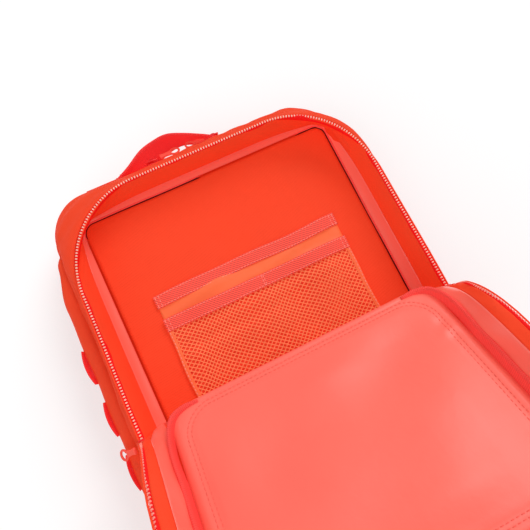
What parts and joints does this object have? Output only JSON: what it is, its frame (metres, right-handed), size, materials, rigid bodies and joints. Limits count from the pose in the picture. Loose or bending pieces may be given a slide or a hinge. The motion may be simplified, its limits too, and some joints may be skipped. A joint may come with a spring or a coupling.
{
  "type": "trauma backpack",
  "caption": "Soft trauma backpack lying on its back, upper front cover folded open on a lined compartment with a mesh pocket, zipped rim, webbing handle, padded straps.",
  "frame": {"origin": "middle of the base, under the harness and lumbar pad", "axes": "+X across the pack, +Y from its bottom to its top edge, +Z from the harness to the front"},
  "size_m": [0.363, 0.5056, 0.2734],
  "materials": {
    "orange_weave": "matte fine weave",
    "orange_mesh": "open diamond mesh",
    "coral_coating": "satin coated nylon",
    "coral_tape": "ribbed binding tape",
    "red_webbing": "woven webbing",
    "zipper_tape": "woven zipper tape",
    "zipper_teeth": "satin moulded teeth",
    "padding": "padded spacer mesh",
    "hardware": "satin moulded"
  },
  "bodies": {
    "pack": {"back_lining": "orange_weave", "back_foam": "padding", "back_pad_left": "padding", "back_pad_right": "padding", "lumbar_pad": "padding", "side_shell": "orange_weave", "gusset_lining": "coral_coating", "gusset_strip": "orange_weave", "floor_binding": "coral_tape", "zipper_tape": "zipper_tape", "zipper_chain": "zipper_teeth", "closed_zipper": "zipper_tape", "rear_pocket": "orange_weave", "rear_pocket_tape": "coral_tape", "mesh_pocket": "orange_mesh", "mesh_pocket_tape": "coral_tape", "lower_cover": "orange_weave", "lower_cover_gusset": "orange_weave", "lower_pocket": "orange_weave", "lower_pocket_zip": "zipper_tape", "rear_zip_track": "zipper_tape", "side_pocket_left": "orange_weave", "webbing_left_1": "red_webbing", "webbing_left_2": "red_webbing", "webbing_left_3": "red_webbing", "webbing_left_4": "red_webbing", "webbing_right_1": "red_webbing", "webbing_right_2": "red_webbing", "webbing_right_3": "red_webbing", "webbing_right_4": "red_webbing", "clip_anchor_left": "hardware", "clip_anchor_right": "hardware"},
    "cover": {"cover_panel": "coral_coating", "cover_gusset": "coral_coating", "cover_strip": "orange_weave", "cover_zipper": "zipper_tape", "cover_binding": "coral_tape", "cover_pocket": "orange_weave", "cover_pocket_zip": "zipper_tape"},
    "cover_pocket_slider": {"cover_pocket_slider": "hardware"},
    "lower_pocket_slider": {"lower_pocket_slider": "hardware"},
    "grab_handle": {"grab_handle": "red_webbing"},
    "main_slider_left": {"main_slider_left": "hardware"},
    "main_pull_left": {"main_pull_left": "hardware"},
    "rear_slider_left": {"rear_slider_left": "hardware"},
    "rear_pull_left": {"rear_pull_left": "hardware"},
    "shoulder_left": {"shoulder_strap_left": "padding", "ladder_lock_left": "hardware", "sternum_strap_left": "red_webbing"},
    "strap_end_left": {"strap_webbing_left": "red_webbing", "strap_clip_left": "hardware"},
    "main_slider_right": {"main_slider_right": "hardware"},
    "main_pull_right": {"main_pull_right": "hardware"},
    "rear_slider_right": {"rear_slider_right": "hardware"},
    "rear_pull_right": {"rear_pull_right": "hardware"},
    "shoulder_right": {"shoulder_strap_right": "padding", "ladder_lock_right": "hardware", "sternum_strap_right": "red_webbing"},
    "strap_end_right": {"strap_webbing_right": "red_webbing", "strap_clip_right": "hardware"}
  },
  "joints": [
    {"name": "cover_fold", "type": "hinge", "parent": "pack", "child": "cover", "pos_m": [0.00639, -0.00875, 0.12], "axis": [1, 0, 0], "range_deg": [-145.7, 0]},
    {"name": "handle_fold", "type": "hinge", "parent": "pack", "child": "grab_handle", "pos_m": [-0.00461, 0.22875, 0.063], "axis": [1, 0, 0], "range_deg": [0, 80]},
    {"name": "lower_pocket_zip_slide", "type": "slide", "parent": "pack", "child": "lower_pocket_slider", "axis": [1, 0, 0], "range_m": [-0.018, 0.158]},
    {"name": "cover_pocket_zip_slide", "type": "slide", "parent": "cover", "child": "cover_pocket_slider", "axis": [1, 0, 0], "range_m": [-0.14, 0.02]},
    {"name": "main_zip_slide_left", "type": "slide", "parent": "pack", "child": "main_slider_left", "axis": [0, 1, 0], "range_m": [0, 0.15]},
    {"name": "main_pull_swing_left", "type": "hinge", "parent": "main_slider_left", "child": "main_pull_left", "pos_m": [-0.16111, -0.02275, 0.0845], "axis": [0, 1, 0], "range_deg": [0, 100]},
    {"name": "rear_zip_slide_left", "type": "slide", "parent": "pack", "child": "rear_slider_left", "axis": [1, 0, 0], "range_m": [-0.065, 0.005]},
    {"name": "rear_pull_swing_left", "type": "hinge", "parent": "rear_slider_left", "child": "rear_pull_left", "pos_m": [-0.03311, 0.23425, 0.05], "axis": [0, 0, 1], "range_deg": [0, 85]},
    {"name": "shoulder_swing_left", "type": "hinge", "parent": "pack", "child": "shoulder_left", "pos_m": [-0.04361, 0.18325, 0.0138], "axis": [1, 0, 0], "range_deg": [0, 120]},
    {"name": "strap_end_swing_left", "type": "hinge", "parent": "shoulder_left", "child": "strap_end_left", "pos_m": [-0.09561, -0.12075, 0.009], "axis": [1, 0, 0], "range_deg": [0, 70]},
    {"name": "main_zip_slide_right", "type": "slide", "parent": "pack", "child": "main_slider_right", "axis": [0, 1, 0], "range_m": [0, 0.15]},
    {"name": "main_pull_swing_right", "type": "hinge", "parent": "main_slider_right", "child": "main_pull_right", "pos_m": [0.17389, -0.02275, 0.0845], "axis": [0, 1, 0], "range_deg": [-110, 0]},
    {"name": "rear_zip_slide_right", "type": "slide", "parent": "pack", "child": "rear_slider_right", "axis": [1, 0, 0], "range_m": [-0.005, 0.085]},
    {"name": "rear_pull_swing_right", "type": "hinge", "parent": "rear_slider_right", "child": "rear_pull_right", "pos_m": [0.02489, 0.23425, 0.05], "axis": [0, 0, 1], "range_deg": [-85, 0]},
    {"name": "shoulder_swing_right", "type": "hinge", "parent": "pack", "child": "shoulder_right", "pos_m": [0.05639, 0.18325, 0.0138], "axis": [1, 0, 0], "range_deg": [0, 120]},
    {"name": "strap_end_swing_right", "type": "hinge", "parent": "shoulder_right", "child": "strap_end_right", "pos_m": [0.10839, -0.12075, 0.009], "axis": [1, 0, 0], "range_deg": [0, 70]}
  ]
}
